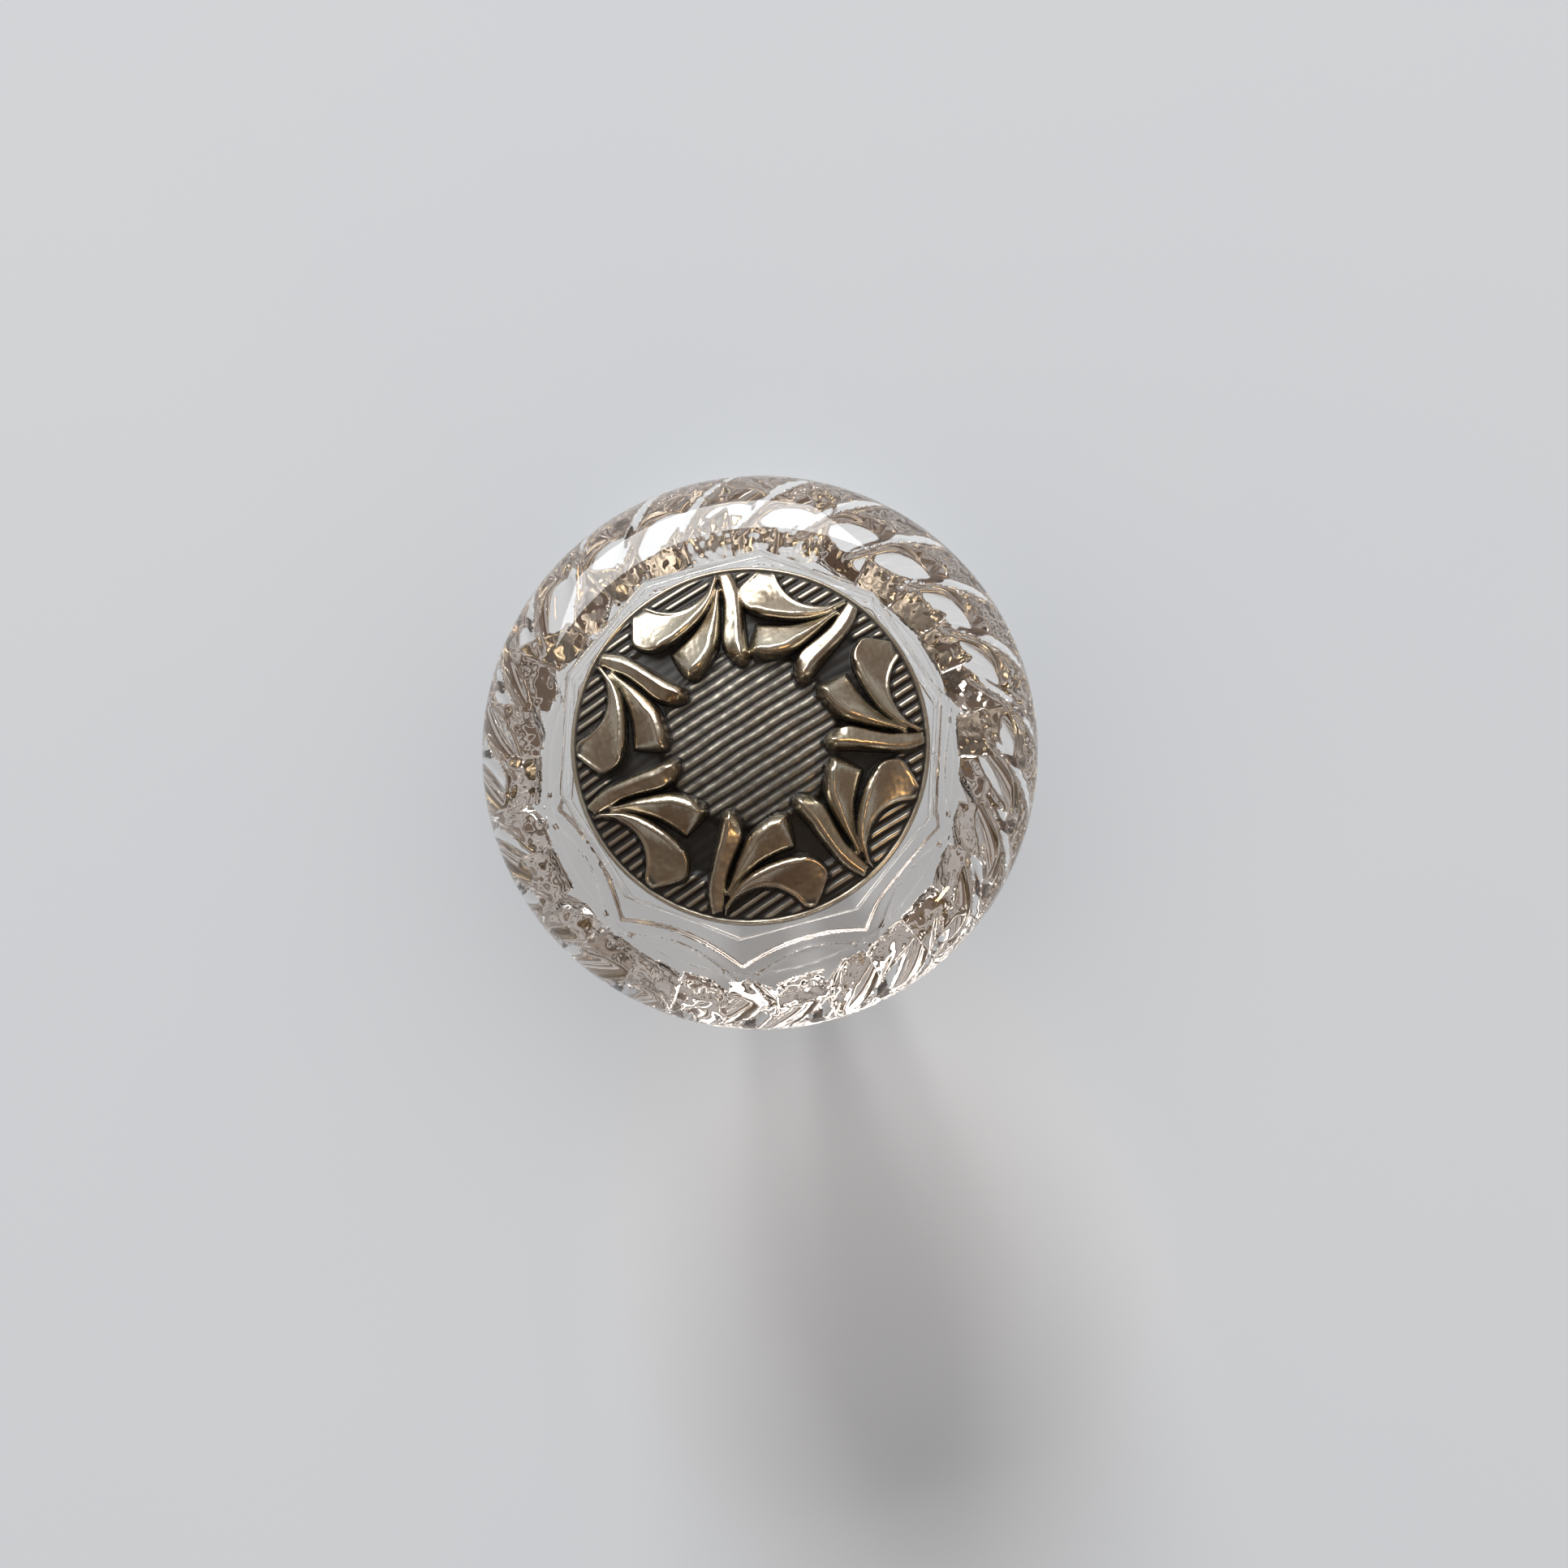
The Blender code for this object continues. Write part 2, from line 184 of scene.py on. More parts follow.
# --------------------------------------------------------------------- material tools
class Nodes:
    """A little node-tree writer. Values may be numbers, RGB tuples or output sockets."""

    def __init__(self, tree):
        self.tree = tree
        tree.nodes.clear()

    def fill(self, node, inputs):
        for key, value in inputs.items():
            socket = node.inputs[key]
            if isinstance(value, bpy.types.NodeSocket):
                self.tree.links.new(value, socket)
            else:
                socket.default_value = (*value, 1.0) if isinstance(value, tuple) else value

    def new(self, kind, inputs=None, **settings):
        node = self.tree.nodes.new(kind)
        for key, value in settings.items():
            setattr(node, key, value)
        self.fill(node, inputs or {})
        return node

    def math(self, operation, a, b, clamp=False):
        return self.new("ShaderNodeMath", {0: a, 1: b}, operation=operation,
                        use_clamp=clamp).outputs[0]

    def noise(self, coords, scale, detail=4.0, rough=0.55):
        return self.new("ShaderNodeTexNoise", {
            "Scale": scale, "Detail": detail, "Roughness": rough,
            "Vector": coords}).outputs["Fac"]

    def ramp(self, fac, stops, interp="LINEAR"):
        """Stops are (position, RGB)."""
        node = self.new("ShaderNodeValToRGB", {0: fac})
        node.color_ramp.interpolation = interp
        elements = node.color_ramp.elements
        while len(elements) < len(stops):
            elements.new(0.5)
        for element, (position, colour) in zip(elements, stops):
            element.position = position
            element.color = (*colour, 1.0)
        return node.outputs[0]

    def mix(self, fac, a, b, blend="MIX"):
        # sockets 6 and 7 are the colour pair
        return self.new("ShaderNodeMix", {0: fac, 6: a, 7: b}, data_type="RGBA",
                        blend_type=blend).outputs[2]

    def bump(self, height, strength):
        return self.new("ShaderNodeBump", {
            "Strength": strength, "Distance": 0.00002, "Height": height}).outputs[0]


def new_material(name):
    mat = bpy.data.materials.new(name)
    mat.use_nodes = True
    t = Nodes(mat.node_tree)
    out = t.new("ShaderNodeOutputMaterial")
    bsdf = t.new("ShaderNodeBsdfPrincipled")
    t.fill(out, {"Surface": bsdf.outputs[0]})
    coords = t.new("ShaderNodeTexCoord").outputs["Object"]
    return mat, t, bsdf, out, coords


# ---------------------------------------------------------------------- glass body
LIP_R, LIP_ROLL = 8.0, 0.12            # the flat lip's outer edge; its rolled inner edge
GIRDLE_Z = 2.9                         # height of the widest circle
GIRDLE_ROUND = 0.55                    # the back is rounded over this width beside it
POCKET_AP, POCKET_Z = 7.42, 4.2        # ten-sided pocket: apothem, floor
MOULD_X, MOULD_Y = -0.25, -0.18        # the moulded back sits a little off the rim's centre
PAD_AP, PAD_RISE = 7.80, 0.20          # ten-sided pad, standing this far proud
TEN, CORNER = math.radians(36.0), math.radians(15.0)     # its side's angle; a corner
RING_R = 8.5                           # outer edge of the flat ring round the pad
FACETS, FACET_R, FACET_Z = 30, 9.05, 0.70
FACET_SLOPE = FACET_Z / (FACET_R - RING_R)
ROPE_N, ROPE_R, ROPE_PHASE, ROPE_TWIST = 24, 9.48, math.radians(7.5), 0.19
ROPE_HALF, ROPE_DEEP = 0.235, 0.16     # half width of a strand; depth of the grooves
CROWN, FLANK = 0.585, 1.6              # slopes of a strand's crown and outer flank
CONE_R, CONE_SLOPE = 9.75, 0.62        # the back is gentler outside this radius
PHI = turn(900)

rng = np.random.default_rng(7)
strand_jitter = rng.uniform(-1, 1, (ROPE_N, 4))
facet_jitter = rng.uniform(-1, 1, (FACETS, 3))
facet_field = waves(24, 0.55, 11)
facet_fine = waves(24, 0.22, 12)
rope_field = waves(20, 1.1, 13)


def ten_angle(phi):
    """Angle from the middle of the nearest of the ten sides."""
    return np.mod(phi - CORNER, TEN) - TEN / 2


def facet_height(x, y, radius, phi):
    """A ring of small facets, each set a little differently."""
    step = 2 * math.pi / FACETS
    jitter = facet_jitter[np.floor(phi / step).astype(int) % FACETS]
    off = np.mod(phi, step) - step / 2
    flat_r = radius * np.cos(off) / math.cos(step / 2)
    slope = FACET_SLOPE * (1 + 0.16 * jitter[..., 0])
    tilt = 0.30 * jitter[..., 1] * off * radius
    z = (flat_r - RING_R) * slope + tilt * (flat_r > RING_R)
    z = np.where(flat_r > RING_R, np.maximum(z, 0.0), 0.0)
    # a fine groove between neighbours, then an uneven skin
    line = smooth(0.045, 0.0, (step / 2 - np.abs(off)) * radius)
    z = z + 0.05 * line * smooth(0.0, 0.1, z)
    return z + smooth(0.03, 0.2, z) * (0.010 * facet_field(x, y) + 0.003 * facet_fine(x, y))


def rope_height(x, y, radius, phi, facets):
    """Twisted strands whose crowns are less steep than the cone they stand on."""
    twist = ROPE_N * (phi - ROPE_PHASE + ROPE_TWIST * (radius - ROPE_R))
    jitter = strand_jitter[np.round(twist / (2 * math.pi)).astype(int) % ROPE_N]
    # 0 in the middle of a strand, 1 in the groove beside it
    across = np.abs(np.mod(twist / math.pi + 1, 2) - 1)
    middle = ROPE_R + 0.04 * jitter[..., 1]
    half = (ROPE_HALF * (1 + 0.12 * jitter[..., 2])
            * np.sqrt(np.clip(1 - (across / 0.86) ** 2, 0, 1)))
    crown = (FACET_SLOPE * (middle - half - RING_R) - 0.03
             + CROWN * (1 + 0.02 * jitter[..., 3]) * (radius - middle + half))
    strand = crown + (FLANK - CROWN) * np.maximum(radius - middle - half, 0)
    # the cone, roughened beside the strands
    rough = (smooth(0.0, 0.12, np.abs(radius - middle) - half)
             * smooth(8.9, 9.2, radius))
    cone = np.minimum(facets, FACET_SLOPE * (CONE_R - RING_R)
                      + CONE_SLOPE * (radius - CONE_R))
    cone = cone + rough * (0.016 * rope_field(x, y) + 0.010 * facet_fine(x, y))
    groove = ROPE_DEEP * (np.clip(across - 0.72, 0, 1) / 0.28) ** 1.3
    groove = groove * smooth(8.95, 9.4, radius) * smooth(11.0, 10.2, radius)
    return np.minimum(cone, strand) + groove


def pad_height(x, y, radius, phi):
    """The ten-sided pad and the ring round it, with faint raised-edge mould lines."""
    apothem = radius * np.cos(ten_angle(phi))
    sag = 0.10 * np.cos(np.mod(phi - CORNER, TEN) * 10.0)
    z = PAD_RISE * smooth(PAD_AP - 0.06, PAD_AP + 0.06, apothem)
    # one line follows the pad, one the ring
    z = z + 0.045 * ridge(apothem, PAD_AP + 0.27 + sag * 0.5, 0.035)
    z = z + 0.030 * ridge(radius, RING_R - 0.16, 0.03)
    return z + 0.004 * rope_field(x, y) * smooth(PAD_AP - 0.2, PAD_AP + 0.2, apothem)


def back_height(radius, phi):
    """Height of the glass's back above the pad."""
    x, y = radius * np.cos(phi), radius * np.sin(phi)
    mould_x, mould_y = x - MOULD_X, y - MOULD_Y
    mould_r, mould_phi = np.hypot(mould_x, mould_y), np.arctan2(mould_y, mould_x)
    facets = facet_height(x, y, mould_r, mould_phi)
    z = PAD_RISE + rope_height(x, y, mould_r, mould_phi, facets)
    # rounded into the widest circle
    rounded = (GIRDLE_Z - (GIRDLE_Z - np.minimum(z, 2.3))
               * quarter_round(R_OUT - radius, GIRDLE_ROUND))
    z = np.where(radius > R_OUT - GIRDLE_ROUND, rounded, z)
    return np.where(mould_r < RING_R - 0.02, pad_height(x, y, mould_r, mould_phi), z)


def glass_rings():
    """From the pocket's floor out over the lip, then round the back to the plate's seat."""
    wall = (POCKET_AP / np.cos(ten_angle(PHI)) + 0.012 * np.sin(5 * PHI + 0.6)
            + 0.01 * np.sin(11 * PHI))
    pocket = [(t * wall, POCKET_Z) for t in (0.25, 0.5, 0.75, 0.93)]
    pocket += [(wall - 0.12, POCKET_Z), (wall - 0.035, POCKET_Z + 0.035),
               (wall, POCKET_Z + 0.12)]
    pocket += [(wall, z) for z in np.linspace(POCKET_Z + 0.25, GLASS_T - 0.22, 5)]
    for k in range(7):
        a = math.pi / 2 * k / 6
        pocket.append((wall + LIP_ROLL * (1 - math.cos(a)),
                       GLASS_T - LIP_ROLL + LIP_ROLL * math.sin(a)))
    rings = [ring(PHI, radius, z, MED_AT) for radius, z in pocket]

    # the lip, then a smooth shoulder down to the widest circle
    rings.append(ring(PHI, LIP_R, GLASS_T))
    steps = 72
    for i in range(1, steps + 1):
        t = math.pi / 2 * i / steps
        rings.append(ring(PHI, LIP_R + (R_OUT - LIP_R) * math.sin(t),
                          GIRDLE_Z + (GLASS_T - GIRDLE_Z) * math.cos(t)))

    # the back, in from the widest circle: edge, rope, facets and ring, pad
    for radius in np.concatenate([R_OUT - 0.5 * np.linspace(0.02, 1, 9) ** 1.6,
                                  np.linspace(R_OUT - GIRDLE_ROUND, 9.0, 44),
                                  np.linspace(8.975, 8.15, 34),
                                  np.linspace(8.12, 7.45, 28)]):
        rings.append(ring(PHI, radius, back_height(np.full(PHI.shape, radius), PHI)))
    seat_r = plate_box.half_x + 0.04
    seat_z = plate_box.top - Z_PAD + 0.03
    for radius, z in ((7.3, 0.0), (6.4, 0.0), (5.2, 0.0), (4.2, 0.0), (seat_r, 0.0),
                      (seat_r, 0.05), (seat_r, seat_z), (seat_r * 0.6, seat_z)):
        rings.append(ring(PHI, radius, z))
    return [r + np.array([0, 0, Z_PAD]) for r in rings]


def glass_material():
    mat, t, bsdf, out, coords = new_material("pressed_glass")
    tint = t.ramp(t.noise(coords, scale=260.0, detail=3.0),
                  [(0.3, (0.965, 0.955, 0.94)), (0.7, (0.985, 0.98, 0.97))])
    rough = t.ramp(t.noise(coords, scale=900.0, detail=3.0),
                   [(0.45, (0.0, 0.0, 0.0)), (0.8, (0.03, 0.03, 0.03))])
    ripple = t.math("ADD", t.math("MULTIPLY", t.noise(coords, scale=700.0), 1.0),
                    t.math("MULTIPLY", t.noise(coords, scale=3200.0, detail=3.0), 0.25))
    bsdf.inputs["Roughness"].default_value = 0.0
    t.fill(bsdf, {"IOR": 1.52, "Transmission Weight": 1.0, "Base Color": tint,
                  "Roughness": rough, "Normal": t.bump(ripple, strength=0.12)})
    # shadows: light goes through the glass, gathered a little where it meets the surface
    # squarely and lost where it meets it at a slant
    facing = t.new("ShaderNodeLayerWeight", {"Blend": 0.5}).outputs["Facing"]
    passed = t.ramp(facing, [(0.0, (1.30, 1.30, 1.30)), (0.5, (1.18, 1.175, 1.17)),
                             (0.82, (0.92, 0.905, 0.895)), (1.0, (0.42, 0.39, 0.38))])
    clear = t.new("ShaderNodeBsdfTransparent", {"Color": passed})
    shadow = t.new("ShaderNodeLightPath").outputs["Is Shadow Ray"]
    both = t.new("ShaderNodeMixShader", {0: shadow, 1: bsdf.outputs[0],
                                         2: clear.outputs[0]})
    # a faint warm grey through the thickness
    body = t.new("ShaderNodeVolumeAbsorption", {"Color": (0.80, 0.745, 0.70),
                                                "Density": 85.0})
    t.fill(out, {"Surface": both.outputs[0], "Volume": body.outputs[0]})
    return mat


add_piece("glass", glass_rings(), glass_material(), "glass_body", sharp=32)

# ------------------------------------------------------------------------ medallion
DOME_EDGE, DOME_RISE = 5.75, 1.45      # edge height above the glass pad; rise to the middle
DIE_X, DIE_Y = 0.03, 0.12              # the die's centre from the disc's centre
RIM_R = MED_R - 0.22                   # where the relief gives way to the thin rim
FIRST_SPRAY = math.radians(258.1)
SPRAY_OFF = (0.8, 1.6, 0.0, 1.0, -4.5, -4.0, -3.3)   # degrees off even spacing, each spray
RIB_DIR = math.radians(33.0)
RIB_PITCH = 0.42
PHI_MED = turn(1080)

# The petals of a spray. Outline points are (share of the disc's radius, degrees from the
# spray's stalk): crest edge, tip, hollow edge. Height goes from rise[0] to rise[1] as the
# die radius goes from span[0] to span[1], and falls to the share "low" at the hollow edge.
# crest_w, edge_w and tip_w are the rounding widths; lip is the height of a bead along the
# hollow edge and tip; swell is how far the petal is fuller than its outline.
PETALS = {
    "narrow": dict(
        span=(6.9, 3.3), rise=(0.30, 0.95),
        crest=[(.975, -1.0), (.854, -4.2), (.692, -5.4), (.561, -6.2), (.445, -8.3)],
        tip=[(.445, -8.3), (.415, -4.5), (.432, 1.5), (.476, 5.1)],
        hollow=[(.476, 5.1), (.558, 5.6), (.672, 2.6), (.771, 1.2), (.842, 1.4), (.95, 1.6)],
        low=0.70, crest_w=0.44, edge_w=0.13, tip_w=0.56, lip=0.0, swell=0.08),
    "middle": dict(
        span=(6.9, 3.4), rise=(0.30, 0.95),
        crest=[(.86, 2.6), (.80, 3.9), (.680, 5.8), (.537, 11.1), (.473, 20.2), (.447, 31.5)],
        tip=[(.447, 31.5), (.474, 36.0), (.551, 35.0), (.630, 33.1)],
        hollow=[(.630, 33.1), (.634, 25.4), (.668, 16.5), (.741, 9.1), (.802, 5.7),
                (.87, 3.9)],
        low=0.46, crest_w=0.46, edge_w=0.13, tip_w=0.56, lip=0.0, swell=0.08),
    "swept": dict(
        span=(6.9, 5.0), rise=(0.30, 0.72),
        crest=[(.93, 2.6), (.88, 4.0), (.815, 6.3), (.747, 11.1), (.702, 18.2),
               (.685, 27.0), (.696, 34.4)],
        tip=[(.696, 34.4), (.729, 38.7), (.781, 40.9), (.844, 41.4), (.90, 38.0),
             (.985, 33.0)],
        hollow=[(.985, 33.0), (.962, 29.6), (.889, 26.6), (.834, 22.3), (.813, 17.2),
                (.824, 11.9), (.865, 6.9), (.926, 4.0), (.975, 2.9)],
        low=0.38, crest_w=0.34, edge_w=0.10, tip_w=0.22, lip=0.09, swell=0.05),
}

# the grid one spray is worked out on, mm, its stalk along +X
CELL = 0.01
GRID_X = np.arange(2.5, 7.5, CELL)
GRID_Y = np.arange(-1.3, 5.2, CELL)


def dome(radius):
    return DOME_EDGE + DOME_RISE * (1 - (radius / MED_R) ** 2)


def polar_curve(points):
    angle = np.radians([p[1] for p in points])
    radius = np.array([p[0] for p in points]) * MED_R
    return flow(np.stack([radius * np.cos(angle), radius * np.sin(angle)], 1))


def dist_to(x, y, line):
    best = np.full(x.shape, 1e9)
    for a, b in zip(line[:-1], line[1:]):
        ab = b - a
        length2 = float(ab @ ab) + 1e-12
        t = np.clip(((x - a[0]) * ab[0] + (y - a[1]) * ab[1]) / length2, 0, 1)
        d = (x - a[0] - t * ab[0]) ** 2 + (y - a[1] - t * ab[1]) ** 2
        np.minimum(best, d, out=best)
    return np.sqrt(best)


def within(x, y, outline):
    inside = np.zeros(x.shape, bool)
    for (x0, y0), (x1, y1) in zip(outline, np.roll(outline, -1, 0)):
        if y0 == y1:
            continue
        inside ^= ((y0 > y) != (y1 > y)) & (x < (x1 - x0) * (y - y0) / (y1 - y0) + x0)
    return inside


def petal_height(x, y, spec, curves, outline):
    inside = within(x, y, outline)
    dists = [dist_to(x, y, curve) for curve in curves]
    first = np.argmin(np.stack(dists), 0)
    nearest = np.minimum.reduce(dists)
    # distances in from the outline once it is swollen
    swell = spec["swell"]
    crest, hollow, tip = (np.where(~inside & (first == k), swell - d, swell + d)
                          for k, d in enumerate(dists))
    inside = inside | (nearest < swell)

    radius = np.hypot(x, y)
    far, near = spec["span"]
    run = np.clip((far - radius) / (far - near), 0, 1)
    low, high = spec["rise"]
    top = low + (high - low) * run
    width = crest + hollow
    crest_w = np.minimum(spec["crest_w"], 0.42 * width + 0.02)
    across = np.clip((crest - crest_w) / np.maximum(width - crest_w, 0.05), 0, 1)
    body = 1 - (1 - spec["low"]) * across ** 0.85
    fall = quarter_round(hollow, np.minimum(spec["edge_w"], 0.45 * width + 0.02))
    end = quarter_round(tip, spec["tip_w"])
    h = top * quarter_round(crest, crest_w) * body * fall * end
    if spec["lip"]:
        bead = ridge(hollow, 0.09, 0.07)
        tail = ridge(tip, 0.09, 0.07) * smooth(5.2, 5.7, radius)
        h = h + spec["lip"] * np.maximum(bead, tail) * np.minimum(fall, end)
    return np.where(inside, h, 0.0)


def spray_patch():
    """Height of one spray above the ground, on the grid."""
    x, y = np.meshgrid(GRID_X, GRID_Y)
    h = np.zeros(x.shape)
    for spec in PETALS.values():
        crest, tip, hollow = (polar_curve(spec[key]) for key in ("crest", "tip", "hollow"))
        outline = np.vstack([crest, tip[1:], hollow[1:]])
        lo, hi = outline.min(0) - 0.1, outline.max(0) + 0.1
        rows = slice(*np.searchsorted(GRID_Y, [lo[1], hi[1]]))
        cols = slice(*np.searchsorted(GRID_X, [lo[0], hi[0]]))
        petal = petal_height(x[rows, cols], y[rows, cols], spec, (crest, hollow, tip), outline)
        h[rows, cols] = np.maximum(h[rows, cols], petal)
    # soften single-cell steps
    for _ in range(2):
        h[1:-1, 1:-1] = (4 * h[1:-1, 1:-1] + h[:-2, 1:-1] + h[2:, 1:-1]
                         + h[1:-1, :-2] + h[1:-1, 2:]) / 8
    return h


PATCH = spray_patch()


def sample_patch(x, y):
    """Spray height at (x, y), blended between grid cells; 0 off the grid."""
    u = (x - GRID_X[0]) / CELL
    v = (y - GRID_Y[0]) / CELL
    ok = (u >= 0) & (v >= 0) & (u < PATCH.shape[1] - 1) & (v < PATCH.shape[0] - 1)
    u = np.where(ok, u, 0)
    v = np.where(ok, v, 0)
    i, j = v.astype(int), u.astype(int)
    fv, fu = v - i, u - j
    value = (PATCH[i, j] * (1 - fu) * (1 - fv) + PATCH[i, j + 1] * fu * (1 - fv)
             + PATCH[i + 1, j] * (1 - fu) * fv + PATCH[i + 1, j + 1] * fu * fv)
    return np.where(ok, value, 0.0)


rib_wave = waves(12, 2.6, 21)
rib_mottle = waves(24, 0.5, 22)
skin = waves(20, 0.9, 23)
skin_fine = waves(24, 0.28, 24)


def relief(x, y):
    """Relief height above the dome and patina (1 is black), at disc (x, y) in mm."""
    x, y = x - DIE_X, y - DIE_Y
    radius = np.hypot(x, y)
    petal = np.zeros(x.shape)
    near = np.zeros(x.shape)           # petal height a short step away on any side
    for k, off in enumerate(SPRAY_OFF):
        a = -(FIRST_SPRAY + 2 * math.pi / len(SPRAY_OFF) * k + math.radians(off))
        spray_x = x * math.cos(a) - y * math.sin(a)
        spray_y = x * math.sin(a) + y * math.cos(a)
        petal = np.maximum(petal, sample_patch(spray_x, spray_y))
        for dx, dy in ((.14, 0), (-.14, 0), (0, .14), (0, -.14)):
            near = np.maximum(near, sample_patch(spray_x + dx, spray_y + dy))

    # ribbed ground: fine in the centre, bold in the border, sunk between them
    across = -x * math.sin(RIB_DIR) + y * math.cos(RIB_DIR) + 0.014 * rib_wave(x, y)
    rib = (0.5 + 0.5 * np.cos(2 * math.pi * across / RIB_PITCH)) ** 0.8
    centre = smooth(3.75, 3.35, radius)
    border = smooth(5.5, 6.1, radius)
    depth = 0.040 * centre + 0.12 * border * (1 - centre) + 0.012
    ground = depth * rib + 0.05 * centre - 0.12 * (1 - centre) * (1 - border)
    ground = ground + 0.008 * rib_mottle(x, y) * centre
    on = smooth(0.015, 0.05, petal)
    h = np.where(petal > 0, np.maximum(petal, ground * (1 - on)), ground)
    h = h + on * (0.010 * skin(x, y) + 0.004 * skin_fine(x, y))

    # patina: worn off the ribs and the petals' tops, dark close round the petals
    dark = 1 - smooth(0.35, 0.95, rib) * 0.60 * border * (1 - centre)
    dark = dark * (1 - centre) + (0.54 + 0.20 * smooth(0.9, 0.1, rib)) * centre
    dark = np.clip(dark + 0.9 * smooth(0.0, 0.3, near) * (1 - 0.5 * border), 0, 1)
    petal_dark = 1 - smooth(0.06, 0.26, petal)
    return h, np.clip(dark * (1 - on) + petal_dark * on, 0, 1)


# the thin rim and its turned-down side: (mm outside RIM_R, mm above the dome's edge there,
# patina, share of the waver)
RIM = [(0.03, 0.01, 0.60, 0.5), (0.06, 0.035, 0.42, 0.5), (0.09, 0.05, 0.34, 0.5),
       (0.13, 0.045, 0.30, 0.5), (0.17, 0.01, 0.36, 0.5), (0.20, -0.05, 0.42, 0.0),
       (0.215, -0.14, 0.48, 0.0)]


def medallion_rings():
    """The rings, and the patina at every point of them."""
    rings, patina = [], []

    def put(radius, z, dark):
        rings.append(ring(PHI_MED, radius, z + Z_PAD, MED_AT))
        patina.append(np.broadcast_to(dark, PHI_MED.shape))

    for radius in np.linspace(0.05, RIM_R, 150):
        h, dark = relief(radius * np.cos(PHI_MED), radius * np.sin(PHI_MED))
        fade = smooth(RIM_R + 0.02, RIM_R - 0.10, radius)
        put(radius, dome(radius) + h * fade, dark * fade + (1 - fade) * 0.8)
    base = dome(RIM_R)
    waver = 0.006 * np.sin(7 * PHI_MED + 1.0) + 0.005 * np.sin(17 * PHI_MED)
    for out, up, dark, share in RIM:
        put(RIM_R + out + share * waver, base + up, dark)
    # down the side, under, and back up inside: (radius, height, patina)
    low = face_box.bottom - Z_PAD
    for radius, z, dark in (
            (MED_R, base - 0.35, 0.5), (MED_R, base - 0.7, 0.55), (MED_R, low + 0.12, 0.6),
            (MED_R - 0.04, low + 0.03, 0.6), (MED_R - 0.12, low, 0.6), (6.4, low, 0.6),
            (6.4, low + 0.12, 0.8), (MED_R - 0.34, low + 0.12, 0.8), (MED_R - 0.34, 5.3, 0.8)):
        put(radius, z, dark)
    for radius in (6.2, 3.6, 0.4):
        put(radius, dome(radius) - 0.45, 0.8)
    return rings, np.concatenate(patina)


def medallion_material():
    mat, t, bsdf, out, coords = new_material("antiqued_silver")
    patina = t.new("ShaderNodeAttribute", attribute_name="patina").outputs["Fac"]
    broad = t.noise(coords, scale=420.0, detail=5.0, rough=0.6)
    fine = t.noise(coords, scale=2600.0, rough=0.6)
    finest = t.noise(coords, scale=7000.0, detail=3.0, rough=0.6)
    # patina with broken edges
    dark = t.math("ADD", patina, t.math("MULTIPLY", t.math("SUBTRACT", fine, 0.5), 0.30))
    dark = t.math("SMOOTH_MIN", t.math("MAXIMUM", dark, 0.0), 1.0)
    mask = t.ramp(dark, [(0.30, (0, 0, 0)), (0.72, (1, 1, 1))], "EASE")
    silver = t.ramp(broad, [(0.30, (0.40, 0.325, 0.245)), (0.5, (0.50, 0.445, 0.355)),
                            (0.72, (0.54, 0.51, 0.415))])
    black = t.ramp(fine, [(0.3, (0.010, 0.009, 0.008)), (0.8, (0.030, 0.021, 0.014))])
    # the patina is duller and less metallic than the silver
    colour = t.mix(mask, silver, black)
    metallic = t.math("SUBTRACT", 1.0, t.math("MULTIPLY", mask, 0.75))
    rough = t.math("ADD", 0.20, t.math("MULTIPLY", fine, 0.16))
    rough = t.math("ADD", rough, t.math("MULTIPLY", mask, 0.22))
    grain = t.math("ADD", t.math("MULTIPLY", fine, 1.0), t.math("MULTIPLY", finest, 0.35))
    t.fill(bsdf, {"Base Color": colour, "Metallic": metallic, "Roughness": rough,
                  "Normal": t.bump(grain, strength=0.35)})
    return mat


def add_medallion():
    rings, patina = medallion_rings()
    obj = add_piece("medallion", rings, medallion_material(),
                    "medallion_face")
    attribute = obj.data.attributes.new("patina", "FLOAT", "POINT")
    # the last two values are for the fans' centres
    values = np.concatenate([patina, [patina[0], 0.8]]).astype(np.float32)
    attribute.data.foreach_set("value", values)


add_medallion()


# --------------------------------------------------------------------------- brass
def brass_material(name, tone):
    mat, t, bsdf, out, coords = new_material(name)
    stain = t.noise(coords, scale=350.0, detail=5.0, rough=0.6)
    grain = t.noise(coords, scale=2200.0, rough=0.6)
    colour = t.ramp(stain, [(0.30, tuple(c * 0.35 for c in tone)), (0.52, tone),
                            (0.75, tuple(min(1, c * 1.25) for c in tone))])
    rough = t.math("ADD", 0.24, t.math("MULTIPLY", stain, 0.35))
    t.fill(bsdf, {"Base Color": colour, "Metallic": 1.0, "Roughness": rough,
                  "Normal": t.bump(grain, strength=0.3)})
    return mat


def turned_rings(profile, n=160, at=(0.0, 0.0), waver=0.0):
    """Rings round Z from (radius, height above the glass pad)."""
    a = turn(n)
    wave = waver * (np.sin(3 * a + 0.4) + 0.7 * np.sin(7 * a + 1.9) + 0.5 * np.sin(16 * a))
    return [ring(a, radius + wave * min(1.0, radius), z + Z_PAD, at)
            for radius, z in profile]


LEG_X = 1.3                            # the wire's two legs, and the solder round them


